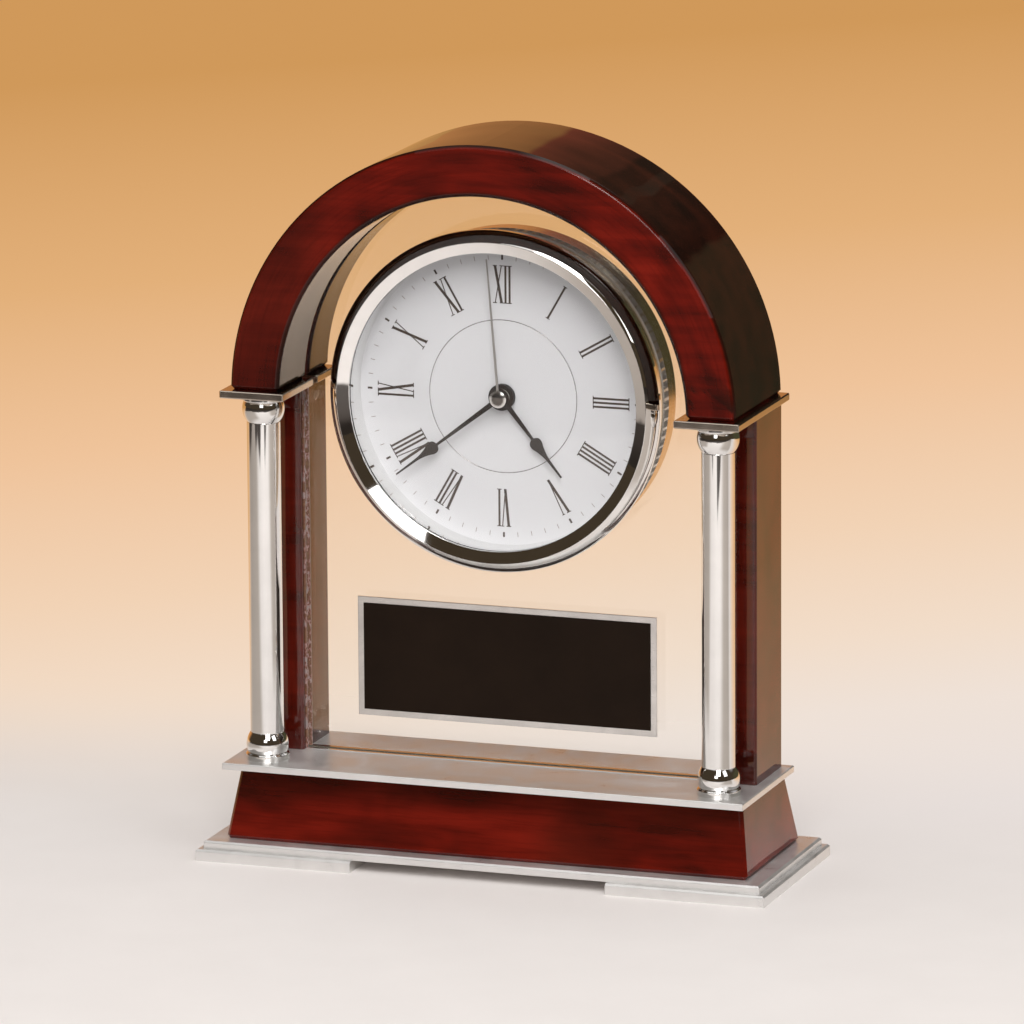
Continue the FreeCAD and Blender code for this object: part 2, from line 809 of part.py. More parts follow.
def coil():
    left = stator_left + stator_leg + coil_clearance
    right = stator_right - stator_leg - coil_clearance
    y = third_wheel_y + magnet_height / 2
    spool = lying(left, right, y, coil_z, coil_flange_radius - coil_flange_step)
    for x in (left, right - coil_flange_length):
        spool = spool.fuse(lying(x, x + coil_flange_length, y, coil_z, coil_flange_radius))
    half_y = stator_thickness / 2 + coil_clearance
    half_z = core_height / 2 + coil_clearance
    core = box(left - overrun, right + overrun, y - half_y, y + half_y, coil_z - half_z, coil_z + half_z)
    return spool.cut(core)


def circuit_board():
    left = board_right - board_width
    low = board_top_z - board_height
    chip_x = (left + board_right - chip_size) / 2
    chip_z = (low + board_top_z - chip_size) / 2
    chip_y = inside_front_y + board_thickness
    board = box(left, board_right, inside_front_y, chip_y, low, board_top_z)
    return board.fuse(box(chip_x, chip_x + chip_size, chip_y, chip_y + chip_height, chip_z, chip_z + chip_size))


def quartz_can():
    left = board_right - board_width + can_radius
    z = board_top_z - can_edge_gap - can_radius
    return lying(left, left + can_length, inside_front_y + board_thickness + can_radius, z, can_radius)


# Battery lying along the bay, which is open to the back
def battery():
    can = lying(battery_left, battery_right, battery_y, battery_z, battery_radius)
    return can.fuse(lying(battery_right, battery_right + button_length, battery_y, battery_z, button_radius))


def contact(x0):
    half = contact_width / 2
    return box(x0, x0 + contact_thickness, inside_front_y, movement_back_y, battery_z - half, battery_z + half)


def contact_negative():
    face_x = contact_thickness - bay_half
    spring = lying(face_x, battery_left - contact_gap, battery_y, battery_z, spring_radius)
    return contact(-bay_half).fuse(spring)


# Hands: tapered stems that swell into a drop and run out in a needle
def blade(length, drop, hub_radius, y, angle):
    turn = math.radians(drop_turn)
    side = drop_radius * math.cos(turn)
    half = [
        (stem_root_half_width, 0, 0), (stem_neck_half_width, drop - drop_radius, 0),
        (drop_radius, drop, -drop_radius * drop_bulge_share),
        (side, drop + drop_radius * math.sin(turn), -drop_radius * drop_turn_share),
        (tail_half_width, drop + drop_tail, tail_hollow), (point_half_width, length, 0)]
    face = outline_face(symmetric(half), lambda x, z: V(x, y, clock_height + z))
    hand = face.extrude(V(0, hand_thickness, 0)).fuse(disc(centre_place, hub_radius, y, y + hand_thickness))
    hand.rotate(V(0, 0, clock_height), V(0, 1, 0), angle)
    return hand


def bored(hand, radius, y):
    return hand.cut(disc(centre_place, radius, y - overrun, y + hand_thickness + overrun))


def hour_hand():
    hand = blade(hour_length, hour_drop_reach, hour_hub_radius, hour_hand_y, hour_angle)
    return bored(hand, hour_pipe_radius, hour_hand_y)


def minute_hand():
    hand = blade(lip_radius - minute_gap, minute_drop_reach, minute_hub_radius, minute_hand_y, minute_angle)
    return bored(hand, minute_pipe_radius, minute_hand_y)


def second_hand():
    half = [(second_half_width, 0, 0), (second_half_width / 2, lip_radius - second_gap, 0)]
    face = outline_face(symmetric(half), lambda x, z: V(x, second_hand_y, clock_height + z))
    hub = disc(centre_place, second_hub_radius, second_hand_y, second_hand_y + hand_thickness)
    hand = face.extrude(V(0, hand_thickness, 0)).fuse(hub)
    hand.rotate(V(0, 0, clock_height), V(0, 1, 0), second_angle)
    return bored(hand, second_arbor_radius, second_hand_y)


def hand_cap():
    front = second_hand_y - cap_height
    rim = (cap_radius, front + cap_crown, -cap_crown * cap_bulge_share)
    return turned_on_clock([(0, front), rim, (cap_radius, second_hand_y), (0, second_hand_y)])


# Case
save_pair("foot", foot())
save("base_plate", base_plate())
save("base_block", base_block())
save("top_plate", top_plate())
save_pair("column_foot", column_foot())
save_pair("column_shaft", column_shaft())
save_pair("column_head", column_head())
save_pair("post", post())
save_pair("capital_plate", capital_plate())
save("arch", arch())
save("glass_panel", glass_panel())
save("name_plate", plate_on_glass(0, glass_front, name_backing_thickness))
save("name_plate_face", plate_on_glass(name_border, glass_front + name_backing_thickness, name_face_thickness))
save("tie_rods", *both_sides(tie_rod()))
save("tie_nuts", *both_sides(tie_nut()))
save("post_dowels", *dowels())
save("foot_screws", *both_sides(foot_screw()))

# Clock insert
save("bezel", bezel())
save("crystal", disc(centre_place, face_radius, crystal_y, reflector_y))
save("reflector_ring", ring(centre_place, face_radius, lip_radius, reflector_y, dial_y))
save("dial", ring(centre_place, face_radius, stem_radius + dial_hole_clearance, dial_y, dial_back_y))
save("insert_case", insert_case())
save("grip_ring", ring(centre_place, hole_radius, drum_radius, -glass_front, glass_back))

# Movement
save("movement_case", movement_case())
save("movement_cover", movement_cover())
save("movement_screws", *[ear_screw(place) for place in ear_places])
save("stator", stator())
save("coil", coil())
save("circuit_board", circuit_board())
save("quartz_can", quartz_can())
save("contact_positive", contact(bay_half - contact_thickness))
save("contact_negative", contact_negative())
save("battery", battery())
save("rotor", rotor())
save("intermediate_wheel", intermediate_wheel())
save("second_wheel", second_wheel())
save("third_wheel", third_wheel())
save("centre_wheel", centre_wheel())
save("cannon_pinion", cannon_pinion())
save("motion_wheel", motion_wheel())
save("hour_wheel", hour_wheel())
save("setting_knob", setting_knob())

# Hands
save("hour_hand", hour_hand())
save("minute_hand", minute_hand())
save("second_hand", second_hand())
save("hand_cap", hand_cap())
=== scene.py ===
import json
import math

import bmesh
import bpy
from mathutils import Matrix, Vector

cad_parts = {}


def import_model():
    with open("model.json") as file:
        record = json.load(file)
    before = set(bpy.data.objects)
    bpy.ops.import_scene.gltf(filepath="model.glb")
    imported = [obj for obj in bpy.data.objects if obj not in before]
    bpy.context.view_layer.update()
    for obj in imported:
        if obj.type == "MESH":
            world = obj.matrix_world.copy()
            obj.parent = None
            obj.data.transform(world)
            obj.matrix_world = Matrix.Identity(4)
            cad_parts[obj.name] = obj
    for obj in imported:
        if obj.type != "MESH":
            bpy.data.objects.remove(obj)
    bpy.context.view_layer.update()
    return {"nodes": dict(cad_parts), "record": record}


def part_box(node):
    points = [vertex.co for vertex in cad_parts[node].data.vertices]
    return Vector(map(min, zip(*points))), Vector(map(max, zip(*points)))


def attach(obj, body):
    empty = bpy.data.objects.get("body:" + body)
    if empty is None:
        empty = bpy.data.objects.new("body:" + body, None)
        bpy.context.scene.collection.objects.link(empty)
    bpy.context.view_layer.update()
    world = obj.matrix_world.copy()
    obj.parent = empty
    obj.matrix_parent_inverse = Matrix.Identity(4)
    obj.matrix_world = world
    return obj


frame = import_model()
nodes = frame["nodes"]
MM = 0.001

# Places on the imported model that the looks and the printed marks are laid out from
dial_low, dial_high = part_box("dial")
DIAL_Z = (dial_low.z + dial_high.z) / 2
DIAL_FRONT = dial_low.y
ARCH_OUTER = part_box("arch")[1].x
ARCH_INNER = ARCH_OUTER - 15.35 * MM
ARCH_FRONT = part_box("arch")[0].y
ARCH_GRAIN_RADIUS = 0.072
POST_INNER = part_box("post_right")[0].x
POST_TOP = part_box("post_right")[1].z
BLOCK_LOW, BLOCK_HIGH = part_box("base_block")


class Nodes:
    """A node tree with its coordinates and short ways to add nodes."""

    def __init__(self, tree, coordinates):
        self.tree = tree
        self.place = self.node("TexCoord").outputs[coordinates]

    def connect(self, socket, value):
        if isinstance(value, bpy.types.NodeSocket):
            self.tree.links.new(value, socket)
        elif socket.type == "RGBA":
            socket.default_value = (*value, 1)
        else:
            socket.default_value = value

    def node(self, kind, inputs=None, **settings):
        made = self.tree.nodes.new("ShaderNode" + kind)
        for name, value in settings.items():
            setattr(made, name, value)
        for name, value in (inputs or {}).items():
            self.connect(made.inputs[name], value)
        return made

    def maths(self, operation, first, second=0.0):
        return self.node("Math", {0: first, 1: second}, operation=operation).outputs[0]

    def product(self, first, second):
        return self.maths("MULTIPLY", first, second)

    def larger(self, first, second):
        return self.maths("MAXIMUM", first, second)

    def gap(self, value, middle):
        """How far the value is from the middle."""
        return self.maths("ABSOLUTE", self.maths("SUBTRACT", value, middle))

    def range(self, value, low, high, to_low, to_high, smooth=False):
        inputs = {"Value": value, "From Min": low, "From Max": high, "To Min": to_low, "To Max": to_high}
        kind = "SMOOTHSTEP" if smooth else "LINEAR"
        return self.node("MapRange", inputs, interpolation_type=kind).outputs[0]

    def rise(self, value, low, high):
        """0 up to low, 1 from high on, with a soft step between them."""
        return self.range(value, low, high, 0.0, 1.0, True)

    def fall(self, value, low, high):
        """1 up to low, 0 from high on, with a soft step between them."""
        return self.range(value, low, high, 1.0, 0.0, True)

    def axes(self, place=None):
        return self.node("SeparateXYZ", {"Vector": place or self.place}).outputs

    def mapped(self, place, **settings):
        """The place moved by a Location, turned by a Rotation or stretched by a Scale."""
        return self.node("Mapping", {"Vector": place, **settings}).outputs[0]

    def stretched(self, scale, place=None):
        return self.mapped(place or self.place, Scale=scale)

    def noise(self, place, scale=1.0, detail=3.0, roughness=0.5, distortion=0.0):
        inputs = {"Vector": place, "Scale": scale, "Detail": detail, "Roughness": roughness,
                  "Distortion": distortion}
        return self.node("TexNoise", inputs).outputs["Fac"]

    def ramp(self, share, stops, interpolation="LINEAR"):
        made = self.node("ValToRGB", {"Fac": share})
        made.color_ramp.interpolation = interpolation
        elements = made.color_ramp.elements
        while len(elements) < len(stops):
            elements.new(0.5)
        for element, (position, colour) in zip(elements, stops):
            element.position = position
            element.color = (*colour, 1)
        return made.outputs["Color"]

    def mix(self, share, first, second, blend="MIX"):
        made = self.node("Mix", {0: share, 6: first, 7: second}, data_type="RGBA", blend_type=blend)
        return made.outputs[2]


class Shader(Nodes):
    """The nodes of a material, with its Principled shader."""

    def __init__(self, name, **values):
        self.material = bpy.data.materials.new(name)
        self.material.use_nodes = True
        super().__init__(self.material.node_tree, "Object")
        self.principled = self.tree.nodes["Principled BSDF"]
        self.give(**values)

    def give(self, **values):
        for name, value in values.items():
            self.connect(self.principled.inputs[name.replace("_", " ")], value)

    def blend_in(self, share, second):
        """Shows the given share of a second shader over the Principled one."""
        mixed = self.node("MixShader", {0: share, 1: self.principled.outputs[0], 2: second})
        self.connect(self.tree.nodes["Material Output"].inputs["Surface"], mixed.outputs[0])

    def bump(self, height, distance, strength=1.0, normal=None):
        inputs = {"Height": height, "Distance": distance, "Strength": strength}
        if normal:
            inputs["Normal"] = normal
        return self.node("Bump", inputs).outputs["Normal"]

    def rounded(self, radius):
        return self.node("Bevel", {"Radius": radius}, samples=6).outputs["Normal"]


def dial_radius(shader):
    """Distance from the axis of the dial, which is the axis of the arch too."""
    axes = shader.axes()
    up = shader.maths("SUBTRACT", axes["Z"], DIAL_Z)
    squares = shader.maths("ADD", shader.product(axes["X"], axes["X"]), shader.product(up, up))
    return shader.maths("SQRT", squares)


# Woods
def along_arch(shader):
    """Coordinates that follow the bend of the arch: along it, front to back, and outwards."""
    axes = shader.axes()
    up = shader.maths("SUBTRACT", axes["Z"], DIAL_Z)
    turn = shader.maths("ARCTAN2", up, axes["X"])
    inputs = {"X": shader.product(turn, ARCH_GRAIN_RADIUS), "Y": axes["Y"], "Z": dial_radius(shader)}
    return shader.node("CombineXYZ", inputs).outputs[0]


def arch_wood_and_painted_shade(shader):
    """How much dark colour the arch gets, and how dull its lacquer.

    It is darker towards the left leg and in streaks over the right foot. At the inner rim and over the crown
    the dark is painted shade. It is dull at the inner rim, and on the front chamfer of the crown but for one
    glint.
    """
    axes = shader.axes()
    radius = dial_radius(shader)
    # Painted shade along the inner rim of the arch
    rim = shader.fall(radius, ARCH_INNER + 0.4 * MM, ARCH_INNER + 2.4 * MM)
    # Painted shade over the crown, the outer face of the arch
    crown = shader.rise(radius, ARCH_OUTER - 0.9 * MM, ARCH_OUTER - 0.2 * MM)
    left_leg = shader.range(axes["X"], -62 * MM, -35 * MM, 0.5, 0.0, True)
    foot = shader.fall(axes["Z"], DIAL_Z + 2 * MM, DIAL_Z + 20 * MM)
    right_foot = shader.product(foot, shader.maths("GREATER_THAN", axes["X"], 0.0))
    slanted = shader.mapped(shader.place, Rotation=(0, math.radians(-40), 0))
    streaks = shader.noise(shader.stretched((28.0, 20.0, 190.0), slanted), 1.0, 3.0, 0.55, 0.4)
    streaked = shader.product(right_foot, shader.rise(streaks, 0.42, 0.56))
    darkness = shader.larger(shader.larger(rim, crown), shader.larger(left_leg, streaked))

    off_soffit = shader.range(radius, ARCH_INNER + 0.08 * MM, ARCH_INNER + 0.20 * MM, 0.0, 1.0)
    past_face = shader.range(radius, ARCH_OUTER - 1.1 * MM, ARCH_OUTER - 0.8 * MM, 0.0, 1.0)
    at_front = shader.range(axes["Y"], ARCH_FRONT + 1.3 * MM, ARCH_FRONT + 1.8 * MM, 1.0, 0.0)
    chamfer = shader.product(past_face, at_front)
    off_glint = shader.range(shader.gap(axes["X"], 30 * MM), 10 * MM, 18 * MM, 0.0, 1.0)
    dullness = shader.larger(shader.product(rim, off_soffit), shader.product(chamfer, off_glint))
    return darkness, dullness


def block_wood_and_painted_shadow(shader):
    """Painted shadow of the plate above: dark under it and redder towards the foot, with one dark patch right
    of the middle.
    """
    axes = shader.axes()
    height = shader.range(axes["Z"], BLOCK_LOW.z, BLOCK_HIGH.z, 0.0, 1.0)
    cloud = shader.noise(shader.stretched((14.0, 14.0, 40.0)), 1.0, 2.0)
    # Painted shadow of the top plate's overhang, darker towards the top of the block and broken by clouds
    shade = shader.range(shader.maths("ADD", height, cloud), 0.85, 1.5, 0.0, 0.6, True)
    near_patch = shader.range(shader.gap(axes["X"], 30 * MM), 4 * MM, 22 * MM, 0.5, 0.0, True)
    patch = shader.product(near_patch, shader.range(cloud, 0.35, 0.5, 0.3, 1.0))
    return shader.larger(shade, patch), None


def evenly(darkness):
    return lambda shader: (darkness, None)


def rosewood(name, grain, seed, looks, place_from=None):
    """Lacquered rosewood: blotches, streaks along the grain, fine pores, and a clear coat with faint waves.

    The looks function gives the share of the dark colour, which on the arch and block is partly painted
    shade, and, if the lacquer is dull anywhere, how dull it is.
    """
    shader = Shader(name, Roughness=0.5, Specular_IOR_Level=0.0, Coat_Weight=1.0, Coat_Roughness=0.02,
                    Coat_IOR=1.6)
    place = place_from(shader) if place_from else shader.place
    place = shader.mapped(place, Location=(seed, seed * 0.7, seed * 1.3))
    across = [1.0 if axis == grain else 2.2 for axis in "XYZ"]
    fine = [1.0 if axis == grain else 18.0 for axis in "XYZ"]
    blotch = shader.noise(shader.stretched(across, place), 26.0, 2.0, 0.5, 0.8)
    streak = shader.noise(shader.stretched((0.5, 3.0, 6.0)), 40.0, 4.0, 0.6, 0.3)
    pores = shader.noise(shader.stretched(fine, place), 60.0, 4.0, 0.65)
    figure = shader.maths("ADD", shader.product(blotch, 0.62), shader.product(streak, 0.38))
    red = shader.ramp(figure, [(0.34, (0.036, 0.0036, 0.0020)), (0.44, (0.078, 0.0050, 0.0026)),
                               (0.53, (0.118, 0.0064, 0.0030)), (0.66, (0.175, 0.0100, 0.0046))])
    dark = shader.ramp(figure, [(0.38, (0.0085, 0.0031, 0.0020)), (0.62, (0.0270, 0.0066, 0.0034))])
    pore_light = shader.range(pores, 0.36, 0.52, 0.80, 1.0)
    greys = {part: pore_light for part in ("Red", "Green", "Blue")}
    in_pores = shader.node("CombineColor", greys).outputs[0]
    darkness, dullness = looks(shader)
    if dullness is not None:
        shader.give(Coat_Weight=shader.range(dullness, 0.0, 1.0, 1.0, 0.2))
    wave = shader.noise(place, 34.0, 1.0, 0.4)
    edge = shader.rounded(0.5 * MM)
    # The dark share mixes in painted shade where the looks function gives it
    shader.give(Base_Color=shader.mix(darkness, shader.mix(1.0, red, in_pores, "MULTIPLY"), dark),
                Normal=shader.bump(pores, 0.015 * MM, 0.5, edge),
                Coat_Normal=shader.bump(wave, 0.42 * MM, 1.0, edge))
    return shader.material


def plain_wood(name):
    shader = Shader(name, Roughness=0.6)
    rings = shader.noise(shader.stretched((60.0, 60.0, 4.0)), 6.0, 4.0, 0.6, 0.5)
    shader.give(Base_Color=shader.ramp(rings, [(0.3, (0.42, 0.27, 0.14)), (0.7, (0.66, 0.48, 0.29))]),
                Normal=shader.bump(rings, 0.05 * MM))
    return shader.material


# Metals
def brushed(name, colour, roughness, depth=0.004, swirls=0.0, worn=0.06, metallic=1.0):
    """Metal brushed along X, with faint clouds of wear. The depth of its lines is in millimetres."""
    shader = Shader(name, Metallic=metallic)
    lines = shader.noise(shader.stretched((1.0, 40.0, 40.0)), 160.0, 3.0, 0.7)
    clouds = shader.noise(shader.place, 55.0, 3.0, 0.55, 2.0)
    light = [min(1.0, part * (1 + worn)) for part in colour]
    dark = [part * (1 - worn * 2) for part in colour]
    spread = shader.maths("ADD", shader.range(lines, 0.3, 0.7, roughness * 0.88, roughness * 1.12),
                          shader.range(clouds, 0.3, 0.7, -swirls, swirls))
    normal = shader.bump(lines, depth * MM, 0.5, shader.rounded(0.25 * MM))
    shader.give(Base_Color=shader.ramp(clouds, [(0.3, dark), (0.7, light)]), Roughness=spread, Normal=normal)
    return shader.material


def polished(name, colour, roughness=0.035, waviness=0.015):
    """Polished metal with wiped haze and shallow waves. The height of its waves is in millimetres."""
    shader = Shader(name, Metallic=1.0)
    wipes = shader.noise(shader.place, 140.0, 3.0, 0.6)
    waves = shader.noise(shader.place, 70.0, 1.0)
    haze = [part * 0.95 for part in colour]
    shader.give(Base_Color=shader.ramp(wipes, [(0.35, haze), (0.65, colour)]),
                Roughness=shader.range(wipes, 0.3, 0.7, roughness * 0.7, roughness * 1.4),
                Normal=shader.bump(waves, waviness * MM, 1.0, shader.rounded(0.3 * MM)))
    return shader.material


def spun(name, colour, roughness):
    """Metal turned round the dial's axis, with fine rings of tool marks."""
    shader = Shader(name, Metallic=1.0)
    along = shader.noise(shader.stretched((8.0, 900.0, 8.0)), 1.0, 3.0, 0.6)
    dull = [part * 0.9 for part in colour]
    shader.give(Base_Color=shader.ramp(along, [(0.35, dull), (0.65, colour)]),
                Roughness=shader.range(along, 0.3, 0.7, roughness * 0.85, roughness * 1.15))
    return shader.material


# Glass
def clear(name, tint):
    """A clear shader that lets lamps shine through, and the roughness of its faint smudges."""
    shader = Shader(name, Base_Color=tint, IOR=1.5, Transmission_Weight=1.0)
    see_through = shader.node("BsdfTransparent", {"Color": tint}).outputs[0]
    shader.blend_in(shader.node("LightPath").outputs["Is Shadow Ray"], see_through)
    smudges = shader.noise(shader.place, 45.0, 3.0, 0.6)
    return shader, shader.range(smudges, 0.5, 0.8, 0.0, 0.012)


def crystal(name):
    """Clear glass that mirrors as if it were very slightly domed."""
    shader, smudged = clear(name, (1.0, 1.0, 1.0))
    dome = shader.maths("POWER", dial_radius(shader), 2.0)
    shader.give(Roughness=smudged, Normal=shader.bump(dome, -0.4))
    return shader.material


def panel_glass(name):
    """Clear faces, ground edges with bright flecks of painted sparkle, and an opaque mottle on the edges and
    the seam beside the posts that paints the rosewood and the shade of the grooves as seen in the glass.
    """
    tint = (0.985, 0.992, 0.988)
    shader, smudged = clear(name, tint)
    axes = shader.axes()
    aside = shader.maths("ABSOLUTE", axes["X"])
    normal = shader.axes(shader.node("NewGeometry").outputs["Normal"])
    is_edge = shader.maths("LESS_THAN", shader.maths("ABSOLUTE", normal["Y"]), 0.5)
    at_post = shader.maths("GREATER_THAN", aside, POST_INNER)
    grit = shader.noise(shader.place, 1100.0, 2.0, 0.7)
    mottle = shader.noise(shader.stretched((1.0, 1.0, 0.45)), 900.0, 3.0, 0.7)
    # The brightest flecks of the ground edges are painted sparkle glints
    ground = shader.ramp(grit, [(0.35, (0.42, 0.31, 0.18)), (0.56, (0.62, 0.48, 0.31)),
                                (0.68, (1.0, 0.92, 0.74))])
    # Painted view of the rosewood and the shade in the post grooves, seen in the glass
    mottled = shader.ramp(mottle, [(0.34, (0.034, 0.012, 0.006)), (0.45, (0.28, 0.036, 0.008)),
                                   (0.53, (0.13, 0.050, 0.015)), (0.68, (0.26, 0.125, 0.045))])
    seam = shader.range(aside, POST_INNER - 0.7 * MM, POST_INNER - 0.5 * MM, 0.0, 1.0)
    beside_post = shader.product(seam, shader.maths("LESS_THAN", axes["Z"], POST_TOP))
    # Painted: the mottle covers the glass face along the seam and in the groove
    painted_groove = shader.product(beside_post, shader.range(mottle, 0.40, 0.50, 0.6, 0.97))
    edge_solid = shader.product(is_edge, shader.range(at_post, 0.0, 1.0, 0.5, 0.97))
    solid = shader.larger(edge_solid, painted_groove)
    face_colour = shader.mix(painted_groove, tint, mottled)
    edge_colour = shader.mix(at_post, ground, mottled)
    shader.give(Base_Color=shader.mix(is_edge, face_colour, edge_colour),
                Transmission_Weight=shader.maths("SUBTRACT", 1.0, solid),
                Roughness=shader.larger(smudged, shader.product(solid, 0.6)),
                Normal=shader.bump(shader.product(grit, is_edge), 0.08 * MM, 0.6))
    return shader.material


# Paint, plastic, paper and rubber
def painted(name, colour, roughness, grain_scale=500.0, depth=0.01, variation=0.05, metallic=0.0,
            specular=0.5):
    """Even colour with a fine grain. The depth of the grain is in millimetres."""
    shader = Shader(name, Metallic=metallic, Specular_IOR_Level=specular)
    grain = shader.noise(shader.place, grain_scale, 3.0, 0.6)
    clouds = shader.noise(shader.place, 60.0, 3.0)
    dark = [part * (1 - variation) for part in colour]
    light = [min(1.0, part * (1 + variation)) for part in colour]
    shader.give(Base_Color=shader.ramp(clouds, [(0.3, dark), (0.7, light)]),
                Roughness=shader.range(grain, 0.3, 0.7, roughness * 0.9, roughness * 1.1),
                Normal=shader.bump(grain, depth * MM, 0.6))
    return shader.material


def dial_face(name):
    shader = Shader(name, Coat_Weight=0.15, Coat_Roughness=0.25)
    paper = shader.noise(shader.place, 900.0, 2.0, 0.6)
    clouds = shader.noise(shader.place, 24.0, 2.0)
    shader.give(Base_Color=shader.ramp(clouds, [(0.3, (0.568, 0.570, 0.590)), (0.7, (0.590, 0.592, 0.610))]),
                Roughness=shader.range(paper, 0.3, 0.7, 0.42, 0.52),
                Normal=shader.bump(paper, 0.004 * MM, 0.5))
    return shader.material


def domed_cap(name):
    """Metal that is dark over the dome and bright round its rim."""
    shader = Shader(name, Metallic=1.0, Roughness=0.12)
    cap_radius = 2.6 * MM
    scuffs = shader.noise(shader.place, 900.0, 2.0)
    colour = shader.ramp(shader.maths("DIVIDE", dial_radius(shader), cap_radius),
                         [(0.0, (0.16, 0.14, 0.12)), (0.6, (0.10, 0.085, 0.075)), (0.78, (0.55, 0.53, 0.50)),
                          (1.0, (0.85, 0.84, 0.82))])
    shader.give(Base_Color=colour, Normal=shader.bump(scuffs, 0.004 * MM, 0.4))
    return shader.material


def battery_jacket(name):
    """A bare steel end, a printed sleeve in two plain bands, and the bare button end."""
    low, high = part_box("battery")
    shader = Shader(name, Coat_Weight=0.6, Coat_Roughness=0.1)
    along = shader.range(shader.axes()["X"], low.x, high.x, 0.0, 1.0)
    steel, dark, light = (0.62, 0.62, 0.61), (0.035, 0.037, 0.042), (0.42, 0.30, 0.13)
    sleeve, change, button = 0.02, 0.66, 0.955
    colour = shader.ramp(along, [(0.0, steel), (sleeve, dark), (change, light), (button, steel)], "CONSTANT")
    bare = shader.ramp(along, [(0.0, (1, 1, 1)), (sleeve, (0, 0, 0)), (button, (1, 1, 1))], "CONSTANT")
    creases = shader.noise(shader.stretched((1.0, 30.0, 30.0)), 90.0, 3.0)
    shader.give(Base_Color=colour, Metallic=bare, Roughness=shader.range(creases, 0.3, 0.7, 0.26, 0.38),
                Normal=shader.bump(creases, 0.01 * MM, 0.5))
    return shader.material


def copper_winding(name):
    shader = Shader(name, Metallic=1.0, Coat_Weight=0.6, Coat_Roughness=0.1)
    wire_pitch = 0.16 * MM
    turns = shader.maths("SINE", shader.product(shader.axes()["X"], 2 * math.pi / wire_pitch))
    shade = shader.noise(shader.stretched((900.0, 60.0, 60.0)), 1.0, 3.0)
    shader.give(Base_Color=shader.ramp(shade, [(0.3, (0.42, 0.16, 0.05)), (0.7, (0.62, 0.27, 0.10))]),
                Roughness=shader.range(shade, 0.3, 0.7, 0.25, 0.4), Normal=shader.bump(turns, 0.03 * MM, 0.9))
    return shader.material


def green_board(name):
    """A board with fine tracks, and the black blob of the chip on its face."""
    shader = Shader(name, Coat_Weight=0.5, Coat_Roughness=0.15)
    chip_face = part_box("circuit_board")[1].y - 0.5 * MM
    on_chip = shader.maths("GREATER_THAN", shader.axes()["Y"], chip_face)
    inputs = {"Vector": shader.stretched((500.0, 1.0, 500.0)), "Scale": 1.0}
    tracks = shader.node("TexVoronoi", inputs, distance="MANHATTAN").outputs["Distance"]
    board = shader.ramp(tracks, [(0.42, (0.010, 0.075, 0.030)), (0.50, (0.030, 0.150, 0.060))])
    shader.give(Base_Color=shader.mix(on_chip, board, (0.012, 0.012, 0.013)),
                Roughness=shader.range(tracks, 0.0, 1.0, 0.3, 0.5),
                Normal=shader.bump(tracks, 0.02 * MM, 0.4))
    return shader.material


slots = {
    "dowel_wood": plain_wood("dowel_wood"),
    "satin_plate": brushed("satin_aluminium", (0.86, 0.85, 0.84), 0.38, 0.002, 0.09, 0.03, 0.8),
    "capital_plate": brushed("capital_metal", (0.56, 0.49, 0.42), 0.12, 0.002, 0.02),
    "column_chrome": polished("column_chrome", (0.90, 0.89, 0.875)),
    "glass": panel_glass("panel_glass"),
    "name_plate": brushed("plate_rim_metal", (0.80, 0.77, 0.745), 0.30),
    "name_plate_face": painted("black_plate", (0.013, 0.007, 0.004), 0.45, 900.0, 0.003, 0.15,
                               specular=0.08),
    "steel": brushed("bright_steel", (0.60, 0.60, 0.60), 0.28),
    "bezel_chrome": polished("bezel_chrome", (0.91, 0.89, 0.87), 0.03, 0.01),
    "crystal": crystal("crystal"),
    "reflector": polished("inner_ring_metal", (0.88, 0.88, 0.87), 0.06),
    "dial": dial_face("dial_paint"),
    "insert_case": spun("drum_metal", (0.90, 0.75, 0.58), 0.22),
    "grip_ring": painted("clear_grey_rubber", (0.50, 0.47, 0.43), 0.55, 700.0, 0.02),
    "movement_case": painted("black_plastic", (0.020, 0.020, 0.021), 0.45, 1100.0, 0.03, 0.1),
    "stator": brushed("grey_iron", (0.34, 0.34, 0.35), 0.42),
    "coil": copper_winding("copper_winding"),
    "circuit_board": green_board("green_board"),
    "quartz_can": polished("tinned_can", (0.76, 0.76, 0.75), 0.16),
    "contact": brushed("spring_brass", (0.68, 0.55, 0.30), 0.26),
    "battery": battery_jacket("battery_jacket"),
    "rotor": painted("rotor_plastic", (0.75, 0.73, 0.66), 0.4),
    "wheel": painted("wheel_plastic", (0.80, 0.78, 0.70), 0.38),
    "cannon_pinion": polished("turned_brass", (0.78, 0.58, 0.28), 0.14),
    "setting_knob": painted("knob_plastic", (0.030, 0.030, 0.032), 0.38, 1300.0, 0.02, 0.1),
    "hand": painted("hand_enamel", (0.012, 0.0065, 0.004), 0.34, 800.0, 0.003, 0.1, specular=0.05),
    "second_hand": painted("second_hand_metal", (0.27, 0.25, 0.235), 0.4, 900.0, 0.003, metallic=0.6),
    "hand_cap": domed_cap("domed_cap"),
}
woods = {
    "arch": rosewood("rosewood_arch", "X", 0.4, arch_wood_and_painted_shade, along_arch),
    "base_block": rosewood("rosewood_block", "X", 1.9, block_wood_and_painted_shadow),
    "post_left": rosewood("rosewood_post_left", "Z", 3.1, evenly(0.5)),
    "post_right": rosewood("rosewood_post_right", "Z", 4.6, evenly(0.55)),
}
for part in frame["record"]["subparts"]:
    node = nodes[part["node"]]
    material = woods.get(part["node"]) or slots[part["material_slot"]]
    if not node.material_slots:
        node.data.materials.append(material)
    for place in node.material_slots:
        place.material = material


